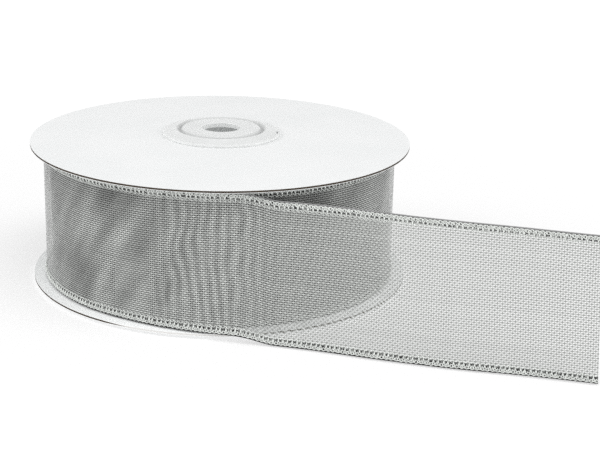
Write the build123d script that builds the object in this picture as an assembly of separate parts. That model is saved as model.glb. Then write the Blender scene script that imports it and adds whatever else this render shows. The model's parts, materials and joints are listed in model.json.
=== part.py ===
from build123d import *
from math import cos, hypot, pi, radians, sin, sqrt
import os

# Ribbon spool, lying on its lower flange side. Millimetres, +Z up.
# The origin is on the spindle axis, in the plane that the lower hub rim stands on.

# --- driving dimensions ---------------------------------------------------------------------------------
FLANGE_R = 55.0            # both flanges
FACE_PAPER = 0.12          # white paper on each face of a flange board
BOARD = 0.50               # kraft core of a flange
BOW = 1.2                  # the upper flange rises this much from its rim to its hole
RIBBON_W = 38.1            # 1-1/2 in ribbon, edge to edge
SIDE_GAP = 0.30            # ribbon edge to flange

HUB_RIM_R = 17.2           # moulded rim that clamps the flange
LOWER_PROUD = 0.9          # lower hub rim below the lower flange
UPPER_PROUD = 2.0          # edge of the upper hub rim above the upper flange's own rim
DOME = 1.0                 # centre disc above the edge of the hub rim
SPINDLE_R = 5.5            # hole through both hub halves
HUB_WEB = 1.35             # disc around the spindle hole
SPIGOT_R = 14.9            # hub barrel, through the flanges and the core sleeve
SPIGOT_WALL = 1.25
PLUG_CLEARANCE = 0.05      # upper plug inside the lower socket
PLUG_DEPTH = 12.0
SOCKET_TOP = 30.0          # end face of the lower barrel
GROOVE_IN_R = 11.3         # ring groove between the rim and the centre disc
GROOVE_OUT_R = 12.9
GROOVE_DEPTH = 0.9

FLANGE_HOLE_R = 15.0
SLEEVE_IN_R = 15.05
SLEEVE_OUT_R = 17.0
TAPE = 0.08                # start tape thickness
TAPE_W = 19.0
TAPE_ARC = 42.0            # degrees round the core sleeve

ROLL_IN_R = 17.3           # wound ribbon, about a hundred turns
ROLL_OUT_R = 50.0

EDGE_WIRE = 0.40           # thread-covered edge wire
THREAD_W = 1.60            # overlock thread band beside the wire
THREAD = 0.50              # its thickness
SHEER = 0.25               # sheer cloth

TAKE_OFF = -125.0          # degrees: where the outermost turn lets go of the roll
TURN_START_R = 50.55       # middle of the outermost turn where it starts, under the tail
TURN_END_R = 51.40         # middle of the outermost turn where the tail begins
TURN_GAP = 0.8             # degrees left open at each end of the turn
TAIL_STATIONS = 31
TAIL_END_DIRECTION = (0.96, -0.28)
TAIL_LOW_Z = 0.30          # tail edge off the flange, just above the surface
DROP_FROM_R = 56.9         # the tail's lower edge passes the flange rim, then comes down
DROP_TO_R = 61.5
SEAM = 0.05                # sheer cloth to thread band

# Plan of the tail's lower and upper edges, from the take-off to the cut end. Each is a smooth curve:
# the lower edge leaves the roll first and the upper edge follows it, so the tail leans back a little.
LOWER_EDGE = [
    (-21.5, -47.3), (-13.3, -51.5), (-5.2, -54.6), (2.6, -56.8), (11.0, -58.9),
    (22.3, -62.2), (34.0, -66.4), (46.0, -70.6), (60.0, -74.8), (76.0, -78.7), (93.8, -83.8),
]
UPPER_EDGE = [
    (-21.3, -46.9), (-13.0, -49.9), (-4.5, -51.5), (4.0, -52.0), (13.0, -52.1),
    (24.4, -54.2), (35.6, -58.6), (47.6, -64.6), (61.0, -70.0), (76.4, -75.4), (92.4, -80.9),
]

# --- levels along the spindle axis ----------------------------------------------------------------------
FLANGE = FACE_PAPER + BOARD + FACE_PAPER
LOWER_OUT = LOWER_PROUD
LOWER_IN = LOWER_OUT + FLANGE
UPPER_IN = LOWER_IN + RIBBON_W + 2 * SIDE_GAP
UPPER_OUT = UPPER_IN + FLANGE
HUB_EDGE = UPPER_OUT + UPPER_PROUD
HUB_TOP = HUB_EDGE + DOME
RIBBON_LOW = LOWER_IN + SIDE_GAP
RIBBON_HIGH = RIBBON_LOW + RIBBON_W
EDGE_W = EDGE_WIRE + THREAD_W

NODES = {}


def ring(inner_r, outer_r, low, high):
    """A flat ring or tube about the spindle axis."""
    section = Rectangle(outer_r - inner_r, high - low, align=(Align.MIN, Align.MIN))
    return revolve(Plane.XZ * Pos(inner_r, low) * section, Axis.Z)


def turned(profile):
    """A solid of revolution from (radius, height) corners."""
    corners = [(r, 0, z) for r, z in profile]
    return revolve(make_face(Polyline(*corners, close=True)), Axis.Z)


# --- flanges --------------------------------------------------------------------------------------------
def bowed(radius):
    """How far the upper flange has risen at a radius."""
    return BOW * (FLANGE_R - radius) / (FLANGE_R - FLANGE_HOLE_R)


def flange_layer(low, thickness, rise=0.0):
    """One layer of a flange, with its hole raised above its rim."""
    return turned([
        (FLANGE_HOLE_R, low + rise), (FLANGE_R, low),
        (FLANGE_R, low + thickness), (FLANGE_HOLE_R, low + thickness + rise),
    ])


NODES["lower_flange_outer_paper"] = flange_layer(LOWER_OUT, FACE_PAPER)
NODES["lower_flange_board"] = flange_layer(LOWER_OUT + FACE_PAPER, BOARD)
NODES["lower_flange_inner_paper"] = flange_layer(LOWER_IN - FACE_PAPER, FACE_PAPER)
NODES["upper_flange_inner_paper"] = flange_layer(UPPER_IN, FACE_PAPER, BOW)
NODES["upper_flange_board"] = flange_layer(UPPER_IN + FACE_PAPER, BOARD, BOW)
NODES["upper_flange_outer_paper"] = flange_layer(UPPER_OUT - FACE_PAPER, FACE_PAPER, BOW)


# --- hub ------------------------------------------------------------------------------------------------
def lower_hub_half():
    """Socket half: rim under the lower flange, centre disc with the spindle hole, long barrel."""
    socket_r = SPIGOT_R - SPIGOT_WALL
    groove = 0.55
    body = turned([
        (SPINDLE_R, 0), (GROOVE_IN_R, 0), (GROOVE_IN_R, groove), (GROOVE_OUT_R, groove),
        (GROOVE_OUT_R, 0), (HUB_RIM_R - 0.5, 0), (HUB_RIM_R, 0.4), (HUB_RIM_R, LOWER_OUT),
        (SPIGOT_R, LOWER_OUT), (SPIGOT_R, SOCKET_TOP), (socket_r, SOCKET_TOP),
        (socket_r, HUB_WEB + 0.5), (socket_r - 0.5, HUB_WEB), (SPINDLE_R, HUB_WEB),
    ])
    return body


def upper_hub_half():
    """Plug half: sloping rim, ring groove, raised centre disc, barrel that plugs into the lower half."""
    plug_r = SPIGOT_R - SPIGOT_WALL - PLUG_CLEARANCE
    plug_wall = 1.1
    groove_floor = HUB_TOP - GROOVE_DEPTH
    web_under = HUB_TOP - HUB_WEB
    barrel_under = groove_floor - 1.0
    body = turned([
        (SPINDLE_R, web_under), (SPINDLE_R, HUB_TOP - 0.15), (SPINDLE_R + 0.15, HUB_TOP),
        (GROOVE_IN_R - 0.2, HUB_TOP), (GROOVE_IN_R + 0.2, HUB_TOP - 0.35),
        (GROOVE_IN_R + 0.45, groove_floor), (GROOVE_OUT_R - 0.6, groove_floor),
        (GROOVE_OUT_R - 0.25, HUB_TOP - 0.4), (GROOVE_OUT_R + 0.25, HUB_TOP - 0.12),
        (HUB_RIM_R - 2.0, HUB_EDGE + 0.38), (HUB_RIM_R - 0.5, HUB_EDGE), (HUB_RIM_R - 0.12, HUB_EDGE - 0.22),
        (HUB_RIM_R, HUB_EDGE - 0.5), (HUB_RIM_R, UPPER_OUT + bowed(HUB_RIM_R)),
        (SPIGOT_R, UPPER_OUT + bowed(SPIGOT_R)), (SPIGOT_R, SOCKET_TOP), (plug_r, SOCKET_TOP),
        (plug_r, SOCKET_TOP - PLUG_DEPTH + 1), (plug_r - 0.6, SOCKET_TOP - PLUG_DEPTH),
        (plug_r - plug_wall, SOCKET_TOP - PLUG_DEPTH), (plug_r - plug_wall, barrel_under),
        (GROOVE_IN_R - 1.2, barrel_under), (GROOVE_IN_R - 1.2, web_under),
    ])
    gate_notch = Pos(HUB_RIM_R - 0.95, -1.9, HUB_EDGE) * Box(0.5, 2.6, 0.9)
    return body - gate_notch


NODES["lower_hub_half"] = lower_hub_half()
NODES["upper_hub_half"] = upper_hub_half()

# --- core -----------------------------------------------------------------------------------------------
NODES["core_sleeve"] = ring(SLEEVE_IN_R, SLEEVE_OUT_R, LOWER_IN, UPPER_IN + bowed(SLEEVE_OUT_R))


def start_tape():
    """A strip of tape over the ribbon's inner end, round part of the sleeve."""
    middle = (LOWER_IN + UPPER_IN) / 2
    section = Rectangle(TAPE, TAPE_W, align=(Align.MIN, Align.CENTER))
    return revolve(Plane.XZ * Pos(SLEEVE_OUT_R, middle) * section, Axis.Z, TAPE_ARC)


NODES["start_tape"] = start_tape()

# --- wound roll -----------------------------------------------------------------------------------------
NODES["wound_lower_edge"] = ring(ROLL_IN_R, ROLL_OUT_R, RIBBON_LOW, RIBBON_LOW + EDGE_W)
NODES["wound_sheer"] = ring(ROLL_IN_R, ROLL_OUT_R, RIBBON_LOW + EDGE_W, RIBBON_HIGH - EDGE_W)
NODES["wound_upper_edge"] = ring(ROLL_IN_R, ROLL_OUT_R, RIBBON_HIGH - EDGE_W, RIBBON_HIGH)


# --- outermost turn -------------------------------------------------------------------------------------
def turn_arcs():
    """The turn in plan: four arcs (centre, radius, start, end), tangent to each other, each a little larger."""
    growth = (TURN_END_R - TURN_START_R) / 4
    sweep = (360 - 2 * TURN_GAP) / 4
    start = TAKE_OFF - 360 + TURN_GAP
    centre = Vector(0, 0)
    arcs = []
    for k in range(4):
        if k:
            centre -= growth * direction(start)
        arcs.append((centre, TURN_START_R + (k + 0.5) * growth, start, start + sweep))
        start += sweep
    middle = sum((arc[0] for arc in arcs), Vector(0, 0)) / 4
    return [(c - middle, r, a, b) for c, r, a, b in arcs]


def direction(degrees):
    return Vector(cos(radians(degrees)), sin(radians(degrees)))


def turn_band(low, high, thickness):
    """An upright band of the turn between two distances from the ribbon's lower edge."""
    outer = [CenterArc(c, r + thickness / 2, a, b - a) for c, r, a, b in turn_arcs()]
    inner = [CenterArc(c, r - thickness / 2, a, b - a) for c, r, a, b in turn_arcs()]
    ends = [Line(inner[0] @ 0, outer[0] @ 0), Line(inner[-1] @ 1, outer[-1] @ 1)]
    face = make_face(outer + inner + ends)
    return extrude(Pos(0, 0, RIBBON_LOW + low) * face, high - low, dir=(0, 0, 1))


def turn_wire(middle):
    """The edge wire round the turn, a round rod in four bends."""
    rod = None
    for c, r, a, b in turn_arcs():
        section = Plane(origin=(c.X, c.Y, RIBBON_LOW + middle), x_dir=direction(a), z_dir=direction(a - 90))
        bend = revolve(section * Pos(r, 0) * Circle(EDGE_WIRE / 2), Axis((c.X, c.Y, 0), (0, 0, 1)), b - a)
        rod = bend if rod is None else rod + bend
    return rod


NODES["turn_lower_wire"] = turn_wire(EDGE_WIRE / 2)
NODES["turn_lower_thread"] = turn_band(EDGE_WIRE, EDGE_W, THREAD)
NODES["turn_sheer"] = turn_band(EDGE_W, RIBBON_W - EDGE_W, SHEER)
NODES["turn_upper_thread"] = turn_band(RIBBON_W - EDGE_W, RIBBON_W - EDGE_WIRE, THREAD)
NODES["turn_upper_wire"] = turn_wire(RIBBON_W - EDGE_WIRE / 2)


# --- tail -----------------------------------------------------------------------------------------------
def tail_edges():
    """Lower and upper edge points of the tail. Its width stays that of the ribbon wherever it leans."""
    centre, radius, _, turn_end = turn_arcs()[-1]
    start = turn_end + 2 * TURN_GAP
    first = centre + radius * direction(start)
    leaving = direction(start + 90)
    lower = Spline(first, *LOWER_EDGE, tangents=[leaving, TAIL_END_DIRECTION])
    upper = Spline(first, *UPPER_EDGE, tangents=[leaving, TAIL_END_DIRECTION])
    pairs = []
    for i in range(TAIL_STATIONS):
        share = i / (TAIL_STATIONS - 1)
        a, b = lower @ share, upper @ share
        drop = min(max((hypot(a.X, a.Y) - DROP_FROM_R) / (DROP_TO_R - DROP_FROM_R), 0), 1)
        low = RIBBON_LOW - drop * drop * (3 - 2 * drop) * (RIBBON_LOW - TAIL_LOW_Z)
        lean = hypot(b.X - a.X, b.Y - a.Y)
        pairs.append((Vector(a.X, a.Y, low), Vector(b.X, b.Y, low + sqrt(RIBBON_W ** 2 - lean ** 2))))
    return pairs


def frames(pairs):
    """Each station's lower point, its direction across the ribbon and the ribbon's normal there."""
    result = []
    for i, (low, high) in enumerate(pairs):
        before = pairs[max(i - 1, 0)]
        after = pairs[min(i + 1, len(pairs) - 1)]
        along = (after[0] + after[1] - before[0] - before[1]).normalized()
        across = (high - low).normalized()
        result.append((low, across, along.cross(across).normalized()))
    return result


def strip(stations, start, end, thickness):
    """A strip of the ribbon between two distances from its lower edge."""
    sections = []
    for low, across, normal in stations:
        half = normal * (thickness / 2)
        a, b = low + across * start, low + across * end
        sections.append(Polyline(a - half, b - half, b + half, a + half, close=True).wire())
    return Solid.make_loft(sections)


def wire(stations, middle, diameter):
    """The edge wire: an eight-sided rod of the wire's diameter along the ribbon's edge."""
    sections = []
    for low, across, normal in stations:
        centre = low + across * middle
        corners = []
        for k in range(8):
            angle = pi / 8 + k * pi / 4
            corners.append(centre + across * (cos(angle) * diameter / 2) + normal * (sin(angle) * diameter / 2))
        sections.append(Polyline(*corners, close=True).wire())
    return Solid.make_loft(sections)


tail = frames(tail_edges())
NODES["tail_lower_wire"] = wire(tail, EDGE_WIRE / 2, EDGE_WIRE)
NODES["tail_lower_thread"] = strip(tail, EDGE_WIRE, EDGE_W, THREAD)
NODES["tail_sheer"] = strip(tail, EDGE_W + SEAM, RIBBON_W - EDGE_W - SEAM, SHEER)
NODES["tail_upper_thread"] = strip(tail, RIBBON_W - EDGE_W, RIBBON_W - EDGE_WIRE, THREAD)
NODES["tail_upper_wire"] = wire(tail, RIBBON_W - EDGE_WIRE / 2, EDGE_WIRE)

# --- files ----------------------------------------------------------------------------------------------
os.makedirs("parts", exist_ok=True)
for node, shape in NODES.items():
    export_step(shape, "parts/" + node + ".step")
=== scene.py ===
import json
from math import cos, pi, radians, sin

import bpy
import numpy as np
from mathutils import Matrix, Vector


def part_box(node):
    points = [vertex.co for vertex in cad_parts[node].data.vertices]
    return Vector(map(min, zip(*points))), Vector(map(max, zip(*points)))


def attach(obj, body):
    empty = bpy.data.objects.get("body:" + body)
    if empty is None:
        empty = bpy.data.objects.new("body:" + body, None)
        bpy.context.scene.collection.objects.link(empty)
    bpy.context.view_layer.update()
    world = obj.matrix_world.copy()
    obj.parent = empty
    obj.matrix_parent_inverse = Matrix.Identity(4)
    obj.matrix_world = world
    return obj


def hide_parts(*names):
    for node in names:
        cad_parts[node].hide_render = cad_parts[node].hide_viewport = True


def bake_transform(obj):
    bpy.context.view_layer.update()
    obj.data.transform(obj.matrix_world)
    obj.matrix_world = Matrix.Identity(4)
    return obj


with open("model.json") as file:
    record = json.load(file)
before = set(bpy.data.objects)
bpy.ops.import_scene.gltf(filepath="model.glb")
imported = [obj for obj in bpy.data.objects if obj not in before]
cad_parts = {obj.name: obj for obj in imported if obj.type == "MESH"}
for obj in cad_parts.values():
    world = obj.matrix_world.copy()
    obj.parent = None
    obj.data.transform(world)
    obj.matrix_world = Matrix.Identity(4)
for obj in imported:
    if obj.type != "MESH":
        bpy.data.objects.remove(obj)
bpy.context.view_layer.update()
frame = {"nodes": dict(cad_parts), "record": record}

# A ribbon spool lying on its side. Metres; the ribbon's maps are in millimetres.
MM = 0.001

# --- the ribbon's measures, as in the CAD part ------------------------------------------------------------
RIBBON_W = 38.1 * MM
EDGE_WIRE = 0.40 * MM
THREAD_W = 1.60 * MM
EDGE_W = EDGE_WIRE + THREAD_W
BOARD = 0.50 * MM
TAKE_OFF = -125.0
TURN_START_R = 50.55 * MM
TURN_END_R = 51.40 * MM
TURN_GAP = 0.8
TAIL_LOW_Z = 0.30 * MM
TAIL_OVERLAP = 70             # degrees before the take-off at which the tail's own pieces begin
DROP_FROM_R = 56.9 * MM
DROP_TO_R = 61.5 * MM
TAIL_END_DIRECTION = (0.96, -0.28)
LOWER_EDGE = [
    (-21.5, -47.3), (-13.3, -51.5), (-5.2, -54.6), (2.6, -56.8), (11.0, -58.9),
    (22.3, -62.2), (34.0, -66.4), (46.0, -70.6), (60.0, -74.8), (76.0, -78.7), (93.8, -83.8),
]
UPPER_EDGE = [
    (-21.3, -46.9), (-13.0, -49.9), (-4.5, -51.5), (4.0, -52.0), (13.0, -52.1),
    (24.4, -54.2), (35.6, -58.6), (47.6, -64.6), (61.0, -70.0), (76.4, -75.4), (92.4, -80.9),
]

# --- the weave and the overlocked edges -------------------------------------------------------------------
ACROSS_PITCH = 0.64 * MM      # between the threads that run across the ribbon
ALONG_PITCH = 0.60 * MM       # between the threads that run along it
STITCH_PITCH = 1.28 * MM
CLOTH_STEP = 0.9 * MM         # between the stations of the cloth and its wires
THREAD_WANDER = (0.12 * MM, 0.10 * MM, 0.03 * MM)   # wraps along and across the ribbon, runs across it
# Overlock threads wrapped round the edge: share of a stitch, nearest and furthest from the edge, height off
# the cloth, thread radius and slant.
WRAPS = [
    (0.00, 0.46 * MM, 2.05 * MM, 0.30 * MM, 0.14 * MM, 0.22 * MM),
    (0.26, 0.46 * MM, 1.85 * MM, 0.28 * MM, 0.13 * MM, -0.20 * MM),
    (0.58, 0.48 * MM, 1.25 * MM, 0.26 * MM, 0.12 * MM, 0.10 * MM),
]
# Threads running along the edge: share of a stitch, middle and sway across, height and its wave, and radius.
RUNS = [
    (0.10, 0.52 * MM, 0.10 * MM, 0.34 * MM, 0.08 * MM, 0.10 * MM),
    (0.55, 0.95 * MM, 0.25 * MM, 0.44 * MM, 0.06 * MM, 0.08 * MM),
    (0.30, 2.16 * MM, 0.20 * MM, 0.20 * MM, 0.10 * MM, 0.08 * MM),
]

RIBBON_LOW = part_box("wound_lower_edge")[0].z
RIBBON_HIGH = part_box("wound_upper_edge")[1].z
SLEEVE_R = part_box("core_sleeve")[1].x
FLANGE_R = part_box("upper_flange_outer_paper")[1].x


# --- small mesh helpers -----------------------------------------------------------------------------------
def mesh_object(name, vertices, faces, uv=None):
    """A smooth-shaded mesh object; uv is one pair for each vertex, in millimetres."""
    mesh = bpy.data.meshes.new(name)
    mesh.from_pydata([tuple(v) for v in vertices], [], faces)
    if uv is not None:
        layer = mesh.uv_layers.new(name="cloth")
        corner = np.empty(len(mesh.loops), np.int32)
        mesh.loops.foreach_get("vertex_index", corner)
        layer.data.foreach_set("uv", np.asarray(uv, np.float32)[corner].ravel())
    mesh.polygons.foreach_set("use_smooth", [True] * len(mesh.polygons))
    mesh.validate()
    obj = bpy.data.objects.new(name, mesh)
    bpy.context.scene.collection.objects.link(obj)
    return obj


def grid_faces(rows, columns, first=0, closed=False):
    """Quads between neighbouring rows of a grid; closed joins the last column to the first."""
    faces = []
    for i in range(rows - 1):
        for j in range(columns if closed else columns - 1):
            k = (j + 1) % columns
            a, b = first + i * columns + j, first + i * columns + k
            faces.append((a, a + columns, b + columns, b))
    return faces


# --- the ribbon's line ------------------------------------------------------------------------------------
def direction(degrees):
    return np.array([cos(radians(degrees)), sin(radians(degrees))])


def turn_arcs():
    """The outermost turn in plan: four arcs (centre, radius, start, end), each a little larger."""
    growth = (TURN_END_R - TURN_START_R) / 4
    sweep = (360 - 2 * TURN_GAP) / 4
    start = TAKE_OFF - 360 + TURN_GAP
    centre = np.zeros(2)
    arcs = []
    for k in range(4):
        if k:
            centre = centre - growth * direction(start)
        arcs.append((centre, TURN_START_R + (k + 0.5) * growth, start, start + sweep))
        start += sweep
    middle = sum(arc[0] for arc in arcs) / 4
    return [(c - middle, r, a, b) for c, r, a, b in arcs]


def smooth_curve(points, first_direction, last_direction, shares):
    """Points at the given shares of a cubic spline through points, with its end directions given."""
    points = np.asarray(points, float)
    steps = np.linalg.norm(np.diff(points, axis=0), axis=1)
    knots = np.concatenate([[0], np.cumsum(steps)])
    n = len(points)
    matrix, right = np.zeros((n, n)), np.zeros((n, 2))
    matrix[0, 0] = matrix[-1, -1] = 1
    right[0], right[-1] = first_direction, last_direction
    for i in range(1, n - 1):
        before, after = steps[i - 1], steps[i]
        matrix[i, i - 1], matrix[i, i], matrix[i, i + 1] = after, 2 * (before + after), before
        right[i] = 3 * (
            after * (points[i] - points[i - 1]) / before + before * (points[i + 1] - points[i]) / after
        )
    slopes = np.linalg.solve(matrix, right)
    at = np.asarray(shares) * knots[-1]
    span = np.clip(np.searchsorted(knots, at, side="right") - 1, 0, n - 2)
    h = steps[span]
    t = ((at - knots[span]) / h)[:, None]
    h = h[:, None]
    return (
        points[span] * (2 * t ** 3 - 3 * t ** 2 + 1) + slopes[span] * h * (t ** 3 - 2 * t ** 2 + t)
        + points[span + 1] * (3 * t ** 2 - 2 * t ** 3) + slopes[span + 1] * h * (t ** 3 - t ** 2)
    )


def ribbon_line():
    """Lower edge, direction across and outward normal at close stations along the turn and the tail."""
    low, high = [], []
    for centre, radius, start, end in turn_arcs():
        for angle in np.linspace(start, end, 100, endpoint=False):
            x, y = centre + radius * direction(angle)
            low.append((x, y, RIBBON_LOW))
            high.append((x, y, RIBBON_HIGH))
    turn_stations = len(low)
    begin = end + 2 * TURN_GAP
    first = centre + radius * direction(begin)
    leaving = direction(begin + 90)
    ending = np.array(TAIL_END_DIRECTION) / np.linalg.norm(TAIL_END_DIRECTION)
    shares = np.linspace(0, 1, 181)
    lower = smooth_curve([first, *(np.array(LOWER_EDGE) * MM)], leaving, ending, shares)
    upper = smooth_curve([first, *(np.array(UPPER_EDGE) * MM)], leaving, ending, shares)
    for a, b in zip(lower, upper):
        drop = min(max((np.linalg.norm(a) - DROP_FROM_R) / (DROP_TO_R - DROP_FROM_R), 0), 1)
        z = RIBBON_LOW - drop * drop * (3 - 2 * drop) * (RIBBON_LOW - TAIL_LOW_Z)
        lean = np.linalg.norm(b - a)
        low.append((*a, z))
        high.append((*b, z + (RIBBON_W ** 2 - lean ** 2) ** 0.5))
    low, high = np.array(low), np.array(high)
    middle = (low + high) / 2
    length = np.concatenate([[0], np.cumsum(np.linalg.norm(np.diff(middle, axis=0), axis=1))])
    across = (high - low) / np.linalg.norm(high - low, axis=1)[:, None]
    along = np.gradient(middle, axis=0)
    normal = np.cross(along, across)
    normal /= np.linalg.norm(normal, axis=1)[:, None]
    return length, low, across, normal, length[turn_stations]


LENGTH, LOW, ACROSS, NORMAL, TAKE_OFF_LENGTH = ribbon_line()


def ribbon_points(u, v, n):
    """Points of the ribbon: u along it, v from its lower edge, n out from its middle plane."""
    u, v, n = np.broadcast_arrays(u, v, n)
    def at(table):
        return np.stack([np.interp(u, LENGTH, table[:, k]) for k in range(3)], -1)
    return at(LOW) + at(ACROSS) * v[..., None] + at(NORMAL) * n[..., None]


def ribbon_cloth(name, start, end, rows=25):
    """The sheer cloth between two places along the ribbon, full width."""
    u = np.linspace(start, end, int((end - start) / CLOTH_STEP) + 1)
    v = np.linspace(EDGE_WIRE / 2, RIBBON_W - EDGE_WIRE / 2, rows)
    grid_u, grid_v = np.meshgrid(u, v, indexing="ij")
    points = ribbon_points(grid_u, grid_v, 0.0).reshape(-1, 3)
    uv = np.stack([grid_u, grid_v], -1).reshape(-1, 2) / MM
    return mesh_object(name, points, grid_faces(len(u), rows), uv)


def tube(centres, radius, sides, first):
    """Vertices and faces of a tube along centres, closed at its ends."""
    centres = np.asarray(centres)
    along = np.gradient(centres, axis=0)
    along /= np.linalg.norm(along, axis=1)[:, None]
    up = np.tile([0.0, 0.0, 1.0], (len(centres), 1))
    flat = np.abs(along[:, 2]) > 0.9
    up[flat] = [1.0, 0.0, 0.0]
    side = np.cross(along, up)
    side /= np.linalg.norm(side, axis=1)[:, None]
    lift = np.cross(side, along)
    angle = np.arange(sides) * 2 * pi / sides
    ring = side[:, None] * np.cos(angle)[None, :, None] + lift[:, None] * np.sin(angle)[None, :, None]
    vertices = (centres[:, None] + radius * ring).reshape(-1, 3)
    faces = grid_faces(len(centres), sides, first, closed=True)
    last = first + (len(centres) - 1) * sides
    faces.append(tuple(first + k for k in range(sides)))
    faces.append(tuple(last + k for k in reversed(range(sides))))
    return vertices, faces


def edge_wire(name, start, end, upper):
    """The dark thread-covered wire along one edge of the ribbon."""
    u = np.linspace(start, end, int((end - start) / CLOTH_STEP) + 1)
    v = RIBBON_W - EDGE_WIRE / 2 if upper else EDGE_WIRE / 2
    vertices, faces = tube(ribbon_points(u, v, 0.0), EDGE_WIRE / 2, 8, 0)
    return mesh_object(name, vertices, faces)


def stitches(name, start, end, upper, seed):
    """Overlock threads along one edge of the ribbon: loops wrapped round it and threads running along it."""
    rng = np.random.default_rng(seed)
    along_wrap, across_wrap, across_run = THREAD_WANDER
    per_stitch = 12
    count = round((end - start) / STITCH_PITCH)
    pitch = (end - start) / count
    phase = np.arange(count * per_stitch + 1) / per_stitch
    wander = np.repeat(rng.normal(0, 1, (count + 1, 2)), per_stitch, axis=0)[:len(phase)]
    paths = []
    for share, near, far, height, radius, slant in WRAPS:
        turn = phase % 1.0
        back = np.clip(2 * turn - 1, 0, 1)
        advance = np.floor(phase) + back * back * (3 - 2 * back)
        across = -np.cos(2 * pi * turn)
        bulge = np.sin(2 * pi * turn)
        u = pitch * (advance + share) + slant * across + along_wrap * wander[:, 0]
        v = (near + far) / 2 + (far - near) / 2 * across + across_wrap * wander[:, 1] * (across > 0)
        paths.append((u, v, height * np.sign(bulge) * np.abs(bulge) ** 0.5, radius))
    for share, middle, sway, height, wave, radius in RUNS:
        theta = 2 * pi * (phase + share)
        v = middle + sway * np.sin(theta) + across_run * wander[:, 1]
        paths.append((pitch * phase, v, height + wave * np.cos(theta), radius))
    vertices, faces = [], []
    for u, v, n, radius in paths:
        u = np.clip(start + u, start, end)
        v = RIBBON_W - v if upper else v
        points, quads = tube(ribbon_points(u, v, n), radius, 6, sum(len(x) for x in vertices))
        vertices.append(points)
        faces += quads
    return mesh_object(name, np.concatenate(vertices), faces)


# --- materials --------------------------------------------------------------------------------------------
class Nodes:
    """A material's node tree, with short ways to add its nodes."""

    def __init__(self, name):
        self.material = bpy.data.materials.new(name)
        self.material.use_nodes = True
        self.tree = self.material.node_tree
        self.shader = self.tree.nodes["Principled BSDF"]

    def put(self, socket, value):
        if isinstance(value, bpy.types.NodeSocket):
            self.tree.links.new(value, socket)
        else:
            socket.default_value = value

    def math(self, operation, a, b=0.0, c=0.0):
        node = self.tree.nodes.new("ShaderNodeMath")
        node.operation = operation
        for socket, value in zip(node.inputs, (a, b, c)):
            self.put(socket, value)
        return node.outputs[0]

    def ramp(self, value, low, high, to_low=0.0, to_high=1.0):
        """value from low..high to to_low..to_high, smoothly."""
        node = self.tree.nodes.new("ShaderNodeMapRange")
        node.interpolation_type = "SMOOTHSTEP"
        for name, item in (
            ("Value", value), ("From Min", low), ("From Max", high),
            ("To Min", to_low), ("To Max", to_high),
        ):
            self.put(node.inputs[name], item)
        return node.outputs["Result"]

    def mix(self, factor, a, b):
        node = self.tree.nodes.new("ShaderNodeMix")
        node.data_type = "RGBA"
        self.put(node.inputs["Factor"], factor)
        colours = [s for s in node.inputs if s.type == "RGBA"]
        self.put(colours[0], a)
        self.put(colours[1], b)
        return [s for s in node.outputs if s.type == "RGBA"][0]

    def scale_colour(self, colour, factor):
        node = self.tree.nodes.new("ShaderNodeVectorMath")
        node.operation = "SCALE"
        self.put(node.inputs[0], colour if isinstance(colour, bpy.types.NodeSocket) else colour[:3])
        self.put(node.inputs["Scale"], factor)
        return node.outputs[0]

    def position(self):
        node = self.tree.nodes.new("ShaderNodeTexCoord")
        return node.outputs["Object"]

    def radius(self, at):
        """Distance from the spindle axis."""
        split = self.tree.nodes.new("ShaderNodeSeparateXYZ")
        self.put(split.inputs[0], at)
        square = self.math(
            "ADD", self.math("POWER", split.outputs[0], 2.0), self.math("POWER", split.outputs[1], 2.0),
        )
        return self.math("POWER", square, 0.5)

    def uv(self):
        node = self.tree.nodes.new("ShaderNodeUVMap")
        node.uv_map = "cloth"
        split = self.tree.nodes.new("ShaderNodeSeparateXYZ")
        self.tree.links.new(node.outputs[0], split.inputs[0])
        return node.outputs[0], split.outputs[0], split.outputs[1]

    def noise(self, vector, scale, detail=2.0, roughness=0.5):
        node = self.tree.nodes.new("ShaderNodeTexNoise")
        self.put(node.inputs["Vector"], vector)
        self.put(node.inputs["Scale"], scale)
        self.put(node.inputs["Detail"], detail)
        self.put(node.inputs["Roughness"], roughness)
        return node.outputs[0]

    def random(self, value):
        node = self.tree.nodes.new("ShaderNodeTexWhiteNoise")
        node.noise_dimensions = "1D"
        self.put(node.inputs["W"], value)
        return node.outputs["Value"]

    def bump(self, height, strength, distance):
        node = self.tree.nodes.new("ShaderNodeBump")
        self.put(node.inputs["Height"], height)
        node.inputs["Strength"].default_value = strength
        node.inputs["Distance"].default_value = distance
        self.tree.links.new(node.outputs[0], self.shader.inputs["Normal"])

    def finish(self, **values):
        for name, value in values.items():
            self.put(self.shader.inputs[name.replace("_", " ")], value)
        return self.material


def grey(value, tint=(1.0, 1.0, 1.0)):
    return (value * tint[0], value * tint[1], value * tint[2], 1.0)


SILVER = (0.97, 1.0, 0.965)
COOL_WHITE = (0.985, 1.0, 1.0)
WHITE_PLASTIC = (0.985, 1.0, 0.995)
KRAFT_DARK = (0.022, 0.014, 0.007, 1.0)
KRAFT_LIGHT = (0.056, 0.039, 0.022, 1.0)
GROOVE_R = 12.1 * MM          # the moulded groove in the hub's rim, darkened with painted shade
GROOVE_HALF = 0.8 * MM
GROOVE_SHADE = 0.77
SOFT_EDGE = 0.06              # share of a pitch over which the edge of a woven thread fades
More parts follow.
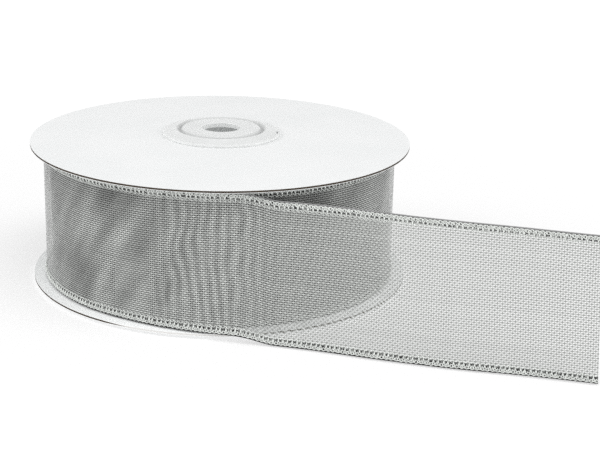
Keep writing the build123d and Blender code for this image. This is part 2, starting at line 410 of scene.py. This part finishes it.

# Uneven tone of the outermost cloth, painted on it: painted light and dark bands and blotches where
# overlying sheer layers interfere, and painted shade under the upper flange and where the tail lies over the
# turn. Places are millimetres along the ribbon from the take-off, or up the ribbon where that is said; a
# pair is where a change begins and where it is complete.
BAND_PITCH = 2.9              # between the fine painted light bands where overlying layers interfere
BAND_DEPTH = 0.24
BANDS_BEGIN = (8, 20)
BANDS_END = (34, 50)
BLOTCH_TURN = -0.6            # radians that the broad blotches lean by
BLOTCH_SIZE = (7.0, 24.0, 1.0)
BLOTCH_GAIN, BLOTCH_OFFSET = 1.9, -0.97
ROLL_SEEN = (-110, -70)       # round the back of the roll the tones fade
BLOTCHES_END = (0, 35)
SHADE_END = (-5, 30)
SHADE_HEIGHTS = (20, 34)      # up the ribbon: the strip of painted shadow under the upper flange
SHADE_DEPTHS = (0.10, 0.46)
TAIL_SHADE_END = (92, 112)       # along the turn from its start: the part that the tail lies over, in painted shade
TAIL_SHADE_TONE = 0.5
HANGING = (62, 90)
HANGING_TONE = 0.99
# Painted shade on the turn's lower thread, darker at the front where the tail lies over it: its reach in y,
# and its tone.
FRONT_SHADE = (-15 * MM, 10 * MM)
FRONT_TONE = 0.65


def outer_tone(m, vector, u, v):
    """The uneven tone of the outermost cloth, as a factor on its colour: painted light and dark bands, and
    painted shade.
    """
    take_off = TAKE_OFF_LENGTH / MM

    def past(places, low=0.0, high=1.0):
        return m.ramp(u, take_off + places[0], take_off + places[1], low, high)

    # painted light and dark bands where the overlying layers interfere
    waver = m.math("MULTIPLY_ADD", m.noise(vector, 0.07, 1.0), 2.2, m.math("MULTIPLY", v, 0.022))
    wave = m.math("MULTIPLY_ADD", u, 2 * pi / BAND_PITCH, m.math("MULTIPLY", waver, 2 * pi))
    patches = m.ramp(m.noise(vector, 0.13, 1.0), 0.36, 0.60, 0.45, 1.0)
    seen = m.math("MULTIPLY", past(BANDS_BEGIN), past(BANDS_END, 1.0, 0.0))
    stripe = m.math("MULTIPLY", m.math("MULTIPLY", m.math("SINE", wave), patches), seen)

    # painted light and dark blotches of the same interference, on the part of the roll in view
    lean = m.tree.nodes.new("ShaderNodeMapping")
    lean.vector_type = "TEXTURE"
    lean.inputs["Rotation"].default_value = (0.0, 0.0, BLOTCH_TURN)
    lean.inputs["Scale"].default_value = BLOTCH_SIZE
    m.put(lean.inputs["Vector"], vector)
    blotches = m.math("MULTIPLY_ADD", m.noise(lean.outputs[0], 1.0, 1.0), BLOTCH_GAIN, BLOTCH_OFFSET)
    on_roll = m.math("MULTIPLY", past(ROLL_SEEN, 0.45, 1.0), past(BLOTCHES_END, 1.0, 0.0))

    # painted shadow of the upper flange on the strip under it
    before = m.math("MULTIPLY", past(ROLL_SEEN, 0.3, 1.0), past(SHADE_END, 1.0, 0.0))
    overhung = m.math("MULTIPLY", before, m.ramp(v, *SHADE_HEIGHTS, *SHADE_DEPTHS))
    # painted shade where the tail lies over the turn
    covered = m.ramp(m.math("MULTIPLY_ADD", v, 1.2, u), *TAIL_SHADE_END, TAIL_SHADE_TONE, 1.0)

    tone = m.math("MULTIPLY_ADD", stripe, BAND_DEPTH, 1.0)
    tone = m.math("MULTIPLY_ADD", blotches, on_roll, tone)
    for share in (m.math("SUBTRACT", 1.0, overhung), covered, past(HANGING, 1.0, HANGING_TONE)):
        tone = m.math("MULTIPLY", tone, share)
    return tone


def woven(
    name, across_colour, along_colour, gap, cover,
    stretch=1.0, skew=0.0, shift=(0.0, 0.0), sheen=0.0, banded=False,
):
    """Plain weave. gap is None for open cloth, or the colour seen between the threads.

    cover is the share of a pitch that the threads running across and along the ribbon take up.
    """
    m = Nodes(name)
    vector, u, v = m.uv()
    drift = m.noise(vector, 0.035, 1.0)
    fine = m.noise(vector, 0.9, 1.0)
    wander = m.math("ADD", m.math("MULTIPLY", drift, 1.4), m.math("MULTIPLY", fine, 0.10))
    slanted = m.math("ADD", u, m.math("MULTIPLY", v, skew))
    s = m.math("MULTIPLY_ADD", slanted, MM / ACROSS_PITCH / stretch, m.math("ADD", wander, shift[0]))
    t = m.math("MULTIPLY_ADD", v, MM / ALONG_PITCH, m.math("MULTIPLY_ADD", wander, -0.8, shift[1]))
    from_across = m.math("ABSOLUTE", m.math("MULTIPLY_ADD", m.math("FRACT", s), 2.0, -1.0))
    from_along = m.math("ABSOLUTE", m.math("MULTIPLY_ADD", m.math("FRACT", t), 2.0, -1.0))
    rising = m.math("COSINE", m.math("MULTIPLY", m.math("SUBTRACT", s, t), pi))
    falling = m.math("COSINE", m.math("MULTIPLY", m.math("ADD", s, t), pi))
    over = m.math("MULTIPLY_ADD", rising, 0.75, m.math("MULTIPLY", falling, -0.25))
    across_edge = m.math("MULTIPLY_ADD", over, 0.08, cover[0])
    along_edge = m.math("MULTIPLY_ADD", over, 0.06, cover[1])
    across = m.ramp(m.math("SUBTRACT", from_across, across_edge), -SOFT_EDGE, SOFT_EDGE, 1.0, 0.0)
    along = m.ramp(m.math("SUBTRACT", from_along, along_edge), -SOFT_EDGE, SOFT_EDGE, 1.0, 0.0)
    across_top = m.math("MULTIPLY", m.ramp(over, -0.15, 0.15), across)
    only_across = m.math("MULTIPLY", across, m.math("SUBTRACT", 1.0, along))
    front = m.math("MAXIMUM", across_top, only_across)
    covered = m.math("MAXIMUM", across, along)
    # painted highlight and shade on the threads: lighter where a thread rides over, darker where it dips
    # under
    shade_across = m.math("MULTIPLY_ADD", over, -0.15, 1.0)
    shade_along = m.math("MULTIPLY_ADD", over, -0.35, 1.0)
    streak_s = m.math("MULTIPLY_ADD", m.random(m.math("FLOOR", s)), 0.18, 0.91)
    streak_t = m.math("MULTIPLY_ADD", m.random(m.math("ADD", m.math("FLOOR", t), 0.37)), 0.18, 0.91)
    colour = m.mix(
        front,
        m.scale_colour(along_colour, m.math("MULTIPLY", shade_along, streak_t)),
        m.scale_colour(across_colour, m.math("MULTIPLY", shade_across, streak_s)),
    )
    uneven = outer_tone(m, vector, u, v) if banded else 1.0
    colour = m.scale_colour(colour, uneven)
    height_across = m.math("MULTIPLY", across, m.math("MULTIPLY_ADD", over, 0.5, 0.6))
    height_along = m.math("MULTIPLY", along, m.math("MULTIPLY_ADD", over, -0.5, 0.6))
    m.bump(m.math("MAXIMUM", height_across, height_along), 0.4, 0.08 * MM)
    if gap is None:
        edge = m.math("ABSOLUTE", m.math("SUBTRACT", v, RIBBON_W / MM / 2))
        inner = (RIBBON_W / 2 - EDGE_W) / MM
        hem = m.ramp(edge, inner + 0.1, inner + 0.3)
        m.put(m.shader.inputs["Alpha"], m.math("MAXIMUM", covered, m.math("MULTIPLY", hem, 0.92)))
        under = m.mix(m.ramp(m.noise(vector, 1.3, 1.0), 0.46, 0.60), grey(0.02), grey(0.40, SILVER))
        m.put(m.shader.inputs["Base Color"], m.mix(hem, colour, m.scale_colour(under, uneven)))
    else:
        m.put(m.shader.inputs["Base Color"], m.mix(covered, gap, colour))
    return m.finish(Roughness=0.45, Sheen_Weight=sheen, Sheen_Roughness=0.3)


def thread(name, value, shaded=False):
    """Twisted silver thread; shaded paints shade on the front, where the tail lies close over it."""
    m = Nodes(name)
    at = m.position()
    shade = m.noise(at, 2600.0, 2.0)
    ply = m.noise(at, 9000.0, 1.0)
    colour = m.mix(m.ramp(shade, 0.3, 0.7), grey(value * 0.8, SILVER), grey(value * 1.15, SILVER))
    if shaded:
        split = m.tree.nodes.new("ShaderNodeSeparateXYZ")
        m.put(split.inputs[0], at)
        colour = m.scale_colour(colour, m.ramp(split.outputs[1], *FRONT_SHADE, FRONT_TONE, 1.0))
    m.put(m.shader.inputs["Base Color"], colour)
    m.bump(ply, 0.5, 0.05 * MM)
    return m.finish(Roughness=0.4, Sheen_Weight=0.3)


def wire_material(name, dark, light):
    """The wire under the overlock thread, between two greys."""
    m = Nodes(name)
    shade = m.noise(m.position(), 3000.0, 2.0)
    colour = m.mix(shade, grey(dark), grey(light))
    m.put(m.shader.inputs["Base Color"], colour)
    m.bump(shade, 0.4, 0.04 * MM)
    return m.finish(Roughness=0.5)


def paper(name, white):
    """White face paper."""
    m = Nodes(name)
    at = m.position()
    fibre = m.noise(at, 1400.0, 3.0, 0.6)
    cloud = m.noise(at, 60.0, 2.0)
    shade = m.math("ADD", m.math("MULTIPLY", fibre, 0.25), m.math("MULTIPLY", cloud, 0.75))
    colour = m.mix(
        m.ramp(shade, 0.3, 0.7), grey(white, COOL_WHITE), grey(white + 0.025, (0.99, 1.0, 1.0)),
    )
    m.put(m.shader.inputs["Base Color"], colour)
    m.bump(fibre, 0.15, 0.03 * MM)
    return m.finish(Roughness=0.62)


def kraft(name, low, high, brown, whitened):
    """A cut board edge: brown plies, whitened towards the papers and, if asked, at the front."""
    m = Nodes(name)
    at = m.position()
    ply = m.tree.nodes.new("ShaderNodeMapping")
    ply.inputs["Scale"].default_value = (300.0, 300.0, 9000.0)
    m.put(ply.inputs["Vector"], at)
    layers = m.noise(ply.outputs[0], 1.0, 2.0)
    colour = m.mix(m.ramp(layers, 0.3, 0.7), KRAFT_DARK, KRAFT_LIGHT)
    split = m.tree.nodes.new("ShaderNodeSeparateXYZ")
    m.put(split.inputs[0], at)
    middle, half = (low + high) / 2, (high - low) / 2
    away = m.math("ABSOLUTE", m.math("SUBTRACT", split.outputs[2], middle))
    fuzz = m.math("MULTIPLY_ADD", m.noise(at, 700.0, 2.0), 0.3 * half, away)
    if whitened:
        towards_front = m.math(
            "ADD", m.math("MULTIPLY", split.outputs[1], -1.0), m.math("MULTIPLY", split.outputs[0], -0.16),
        )
        whiter = m.ramp(towards_front, 0.90 * FLANGE_R, 0.985 * FLANGE_R, 0.0, 1.2 * half)
        fuzz = m.math("ADD", fuzz, whiter)
    m.put(m.shader.inputs["Base Color"], m.mix(
        m.ramp(fuzz, half * brown, half * (brown + 0.35)), colour, grey(0.74, (1.0, 0.99, 0.97)),
    ))
    m.bump(layers, 0.5, 0.05 * MM)
    return m.finish(Roughness=0.85)


def plastic():
    """Moulded white plastic, slightly translucent, with painted shade in the rim's groove."""
    m = Nodes("hub_plastic_white")
    at = m.position()
    grain = m.noise(at, 2200.0, 2.0)
    cloud = m.noise(at, 90.0, 2.0)
    colour = m.mix(m.ramp(cloud, 0.3, 0.7), grey(0.71, WHITE_PLASTIC), grey(0.75, WHITE_PLASTIC))
    # painted shade: darker towards the middle of the groove
    from_groove = m.math("ABSOLUTE", m.math("SUBTRACT", m.radius(at), GROOVE_R))
    shade = m.ramp(from_groove, GROOVE_HALF * 0.5, GROOVE_HALF * 1.8, GROOVE_SHADE, 1.0)
    m.put(m.shader.inputs["Base Color"], m.scale_colour(colour, shade))
    m.bump(grain, 0.05, 0.02 * MM)
    return m.finish(
        Roughness=0.42, Subsurface_Weight=0.3, Subsurface_Scale=2 * MM, Subsurface_Radius=(1.0, 1.0, 1.0),
    )


def sleeve_board():
    """The pale paperboard of the core sleeve."""
    m = Nodes("core_board")
    fibre = m.noise(m.position(), 900.0, 3.0)
    m.put(m.shader.inputs["Base Color"], m.mix(fibre, (0.66, 0.63, 0.58, 1.0), (0.76, 0.74, 0.70, 1.0)))
    m.bump(fibre, 0.4, 0.05 * MM)
    return m.finish(Roughness=0.85)


def tape_material():
    """Clear tape, a little yellowed."""
    m = Nodes("clear_tape")
    ripple = m.noise(m.position(), 300.0, 2.0)
    m.put(m.shader.inputs["Base Color"], m.mix(ripple, (0.66, 0.64, 0.55, 1.0), (0.72, 0.70, 0.62, 1.0)))
    m.bump(ripple, 0.2, 0.05 * MM)
    return m.finish(Roughness=0.15, Alpha=0.6)


def paint(obj, material):
    obj.data.materials.clear()
    obj.data.materials.append(material)
    return obj


# --- pieces of the outermost turn and the tail ------------------------------------------------------------
SPLIT = TAKE_OFF_LENGTH - radians(TAIL_OVERLAP) * TURN_END_R
END = LENGTH[-1]
take_off_point = Vector(ribbon_points(TAKE_OFF_LENGTH, RIBBON_W / 2, 0.0))

open_cloth = woven(
    "sheer_cloth_open", grey(0.36, SILVER), grey(0.44, SILVER), None, (0.26, 0.55), sheen=1.0, banded=True,
)
silver_thread = thread("edge_thread_silver", 0.80)
shaded_thread = thread("edge_thread_shaded", 0.80, shaded=True)
# the lower wires are a near-black copy of the grey wire: painted shade along the ribbon's lower edges
wires = {
    "lower": wire_material("edge_wire_painted_shade", 0.005, 0.03),
    "upper": wire_material("edge_wire_grey", 0.16, 0.36),
}

SPANS = {"turn": (0.0, SPLIT), "tail": (SPLIT, END)}
for part, (start, end) in SPANS.items():
    cloth = paint(ribbon_cloth(part + "_cloth", start, end), open_cloth)
    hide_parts(part + "_sheer")
    extras = []
    for k, edge in enumerate(("lower", "upper")):
        finish = shaded_thread if (part, edge) == ("turn", "lower") else silver_thread
        seam = paint(stitches(f"{part}_{edge}_stitches", start, end, edge == "upper", 11 + k), finish)
        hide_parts(f"{part}_{edge}_thread")
        rod = paint(edge_wire(f"{part}_{edge}_edge_wire", start, end, edge == "upper"), wires[edge])
        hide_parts(f"{part}_{edge}_wire")
        extras += [seam, rod]
    for piece in [cloth, *extras]:
        if part == "turn":
            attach(piece, "outer_turn")
        else:
            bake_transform(piece)


# --- the wound roll ---------------------------------------------------------------------------------------
CORE_R = 48.6 * MM
LAYERS = 2
LAYER_STEP = 0.5 * MM
# the inner layers and the core are the silver cloth made near black: painted shade inside the roll
LAYER_SHADE_GREY = (0.015, 0.03)
LAYER_STRETCH = (1.06, 1.18)
LAYER_SKEW = (0.02, -0.03)
END_CLEARANCE = 0.3 * MM      # from the sleeve to the innermost turn
END_STEP = 0.22 * MM          # between neighbouring turns' edges


def roll_core():
    """The close-wound inside of the roll, as an open drum; roll_ends closes it."""
    vertices, uv = [], []
    segments, rows = 240, 12
    for i in range(segments + 1):
        a = 2 * pi * i / segments
        for j in range(rows):
            z = RIBBON_LOW + (RIBBON_HIGH - RIBBON_LOW) * j / (rows - 1)
            vertices.append((CORE_R * cos(a), CORE_R * sin(a), z))
            uv.append((CORE_R * a / MM, (z - RIBBON_LOW) / MM))
    return mesh_object("roll_core", vertices, grid_faces(segments + 1, rows), uv)


def roll_ends():
    """Both end faces of the roll: the edges of the wound turns, as fine steps."""
    vertices, faces = [], []
    segments, turns = 180, 96
    inner = SLEEVE_R + END_CLEARANCE
    outer = CORE_R + (LAYERS - 1) * LAYER_STEP
    for level, out in ((RIBBON_LOW, -1), (RIBBON_HIGH, 1)):
        first = len(vertices)
        for k in range(turns * 2 + 1):
            r = inner + (outer - inner) * k / (turns * 2)
            z = level - out * (END_STEP if k % 2 else 0.0)
            for i in range(segments):
                a = 2 * pi * i / segments
                vertices.append((r * cos(a), r * sin(a), z))
        faces += grid_faces(turns * 2 + 1, segments, first, closed=True)
    return mesh_object("roll_end_faces", vertices, faces)


def roll_layer(index):
    """One open turn of the ribbon lying on the roll."""
    radius = CORE_R + (index + 1) * LAYER_STEP
    segments, rows = 360, 12
    vertices, uv = [], []
    for i in range(segments + 1):
        a = 2 * pi * i / segments
        r = radius + 0.10 * MM * sin(3 * a + 2.1 * index) + 0.05 * MM * sin(7 * a + index)
        for j in range(rows):
            v = RIBBON_W * j / (rows - 1)
            vertices.append((r * cos(a), r * sin(a), RIBBON_LOW + v))
            uv.append((radius * a / MM, v / MM))
    return mesh_object(f"roll_layer_{index + 1}", vertices, grid_faces(segments + 1, rows), uv)


# painted shade: the close-wound inside is near black
core = paint(roll_core(), woven(
    "wound_cloth_dense", grey(0.02, SILVER), grey(0.02, SILVER), grey(0.01), (0.5, 0.5), skew=0.03,
))
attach(core, "spool")
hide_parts("wound_sheer")
# the edges of the wound turns are darkened: painted shade in the gaps at the flanges
ends = paint(roll_ends(), thread("wound_edge_threads", 0.10))
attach(ends, "spool")
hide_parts("wound_lower_edge", "wound_upper_edge")
for index in range(LAYERS):
    tone = LAYER_SHADE_GREY[index]
    layer = paint(roll_layer(index), woven(
        f"wound_cloth_layer_{index + 1}", grey(tone, SILVER), grey(tone * 1.2, SILVER), None, (0.45, 0.45),
        stretch=LAYER_STRETCH[index], skew=LAYER_SKEW[index], shift=(0.37 * index, 0.21 * index),
    ))
    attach(layer, "spool")

# --- flanges, hub, sleeve and tape: the CAD shapes with their own finishes --------------------------------
FINISHES = {
    "face_paper": paper("face_paper_white", 0.80), "hub_plastic": plastic(),
    "core_board": sleeve_board(), "clear_tape": tape_material(),
}
for sub in frame["record"]["subparts"]:
    if sub["material_slot"] in FINISHES:
        paint(frame["nodes"][sub["node"]], FINISHES[sub["material_slot"]])
for side, brown in (("lower", 1.0), ("upper", 1.4)):
    board = f"{side}_flange_board"
    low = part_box(board)[0].z
    paint(frame["nodes"][board], kraft(f"kraft_{side}_edge", low, low + BOARD, brown, side == "lower"))
# the lower flange's papers are a lighter copy of the face paper: painted light where the upper flange shades
# them
painted_light_paper = paper("face_paper_painted_light", 0.95)
for face in ("outer", "inner"):
    paint(frame["nodes"][f"lower_flange_{face}_paper"], painted_light_paper)


# --- stage, light and camera ------------------------------------------------------------------------------
FLOOR_HALF = 3.0
BACKDROP_R, BACKDROP_HIGH = 2.9, 0.9
WORLD_LIGHT = 0.34
AIM = (0, 0, 0.02)            # every softbox points at the middle of the roll
# Softboxes: place, size and power.
SOFTBOXES = {
    "key": ((0.12, -0.30, 0.85), (1.0, 0.5), 4.2),
    "left": ((-0.85, -0.10, 0.55), (0.6, 0.5), 4.0),
    "right": ((0.85, 0.05, 0.50), (0.6, 0.5), 2.0),
    "front_right": ((0.7, -0.9, 0.6), (0.9, 0.6), 1.8),
}
CAMERA_PLACE = (0.0, -0.40001, 0.14372)
CAMERA_YAW, CAMERA_PITCH, CAMERA_ROLL = 0.05912, 0.31255, 0.02396     # radians
CAMERA_LENS, SENSOR_WIDTH = 84.476, 36.0                              # millimetres


def stage():
    """A pale floor that glows softly, a white backdrop round it, and even light from all sides."""
    mesh = bpy.data.meshes.new("floor")
    half = FLOOR_HALF
    corners = [(-half, -half, 0), (half, -half, 0), (half, half, 0), (-half, half, 0)]
    mesh.from_pydata(corners, [], [(0, 1, 2, 3)])
    floor = bpy.data.objects.new("floor", mesh)
    bpy.context.scene.collection.objects.link(floor)
    m = Nodes("floor_pale")
    glow = m.ramp(m.radius(m.position()), 0.12, 0.50, 0.44, 0.95)
    paint(floor, m.finish(
        Base_Color=grey(0.52), Roughness=0.9, Emission_Color=grey(1.0), Emission_Strength=glow,
    ))
    segments = 96
    angles = [2 * pi * k / segments for k in range(segments)]
    wall = mesh_object(
        "backdrop",
        [(BACKDROP_R * cos(a), BACKDROP_R * sin(a), z) for z in (-MM, BACKDROP_HIGH) for a in angles],
        grid_faces(2, segments, closed=True),
    )
    b = Nodes("backdrop_pale")
    paint(wall, b.finish(Base_Color=grey(0.0), Emission_Color=grey(1.0), Emission_Strength=1.0))
    for surface in (floor, wall):
        surface.active_material.cycles.emission_sampling = "NONE"
    world = bpy.data.worlds.new("studio")
    bpy.context.scene.world = world
    world.use_nodes = True
    world.node_tree.nodes["Background"].inputs["Color"].default_value = (1.0, 1.0, 1.0, 1.0)
    world.node_tree.nodes["Background"].inputs["Strength"].default_value = WORLD_LIGHT


def softbox(name, place, size, power):
    """A rectangular studio light."""
    light = bpy.data.lights.new(name, "AREA")
    light.shape = "RECTANGLE"
    light.size, light.size_y = size
    light.energy = power
    lamp = bpy.data.objects.new(name, light)
    bpy.context.scene.collection.objects.link(lamp)
    lamp.location = place
    lamp.rotation_euler = (Vector(AIM) - Vector(place)).to_track_quat("-Z", "Y").to_euler()


def lamp(name, place, radius, power):
    """A small soft lamp; it stands for the daylight that comes through the thin plastic of the hub."""
    light = bpy.data.lights.new(name, "POINT")
    light.shadow_soft_size = radius
    light.energy = power
    bulb = bpy.data.objects.new(name, light)
    bpy.context.scene.collection.objects.link(bulb)
    bulb.location = place


def camera():
    """The product view: about 18 degrees down, from a little to the left, turned slightly."""
    yaw, pitch = CAMERA_YAW, CAMERA_PITCH
    forward = Vector((sin(yaw) * cos(pitch), cos(yaw) * cos(pitch), -sin(pitch)))
    right = Vector((cos(yaw), -sin(yaw), 0.0))
    level = Matrix((right, right.cross(forward), -forward)).transposed().to_4x4()
    data = bpy.data.cameras.new("camera")
    data.lens, data.sensor_width = CAMERA_LENS, SENSOR_WIDTH
    data.clip_start = 0.01
    eye = bpy.data.objects.new("camera", data)
    bpy.context.scene.collection.objects.link(eye)
    turned = level @ Matrix.Rotation(CAMERA_ROLL, 4, "Z")
    eye.matrix_world = Matrix.Translation(Vector(CAMERA_PLACE)) @ turned
    bpy.context.scene.camera = eye


stage()
for name, (place, size, power) in SOFTBOXES.items():
    softbox(name, place, size, power)
lamp("hub_inside", (0, 0, 0.024), 0.004, 0.0040)
camera()
bpy.context.scene.view_settings.view_transform = "Standard"
bpy.context.scene.cycles.use_denoising = False
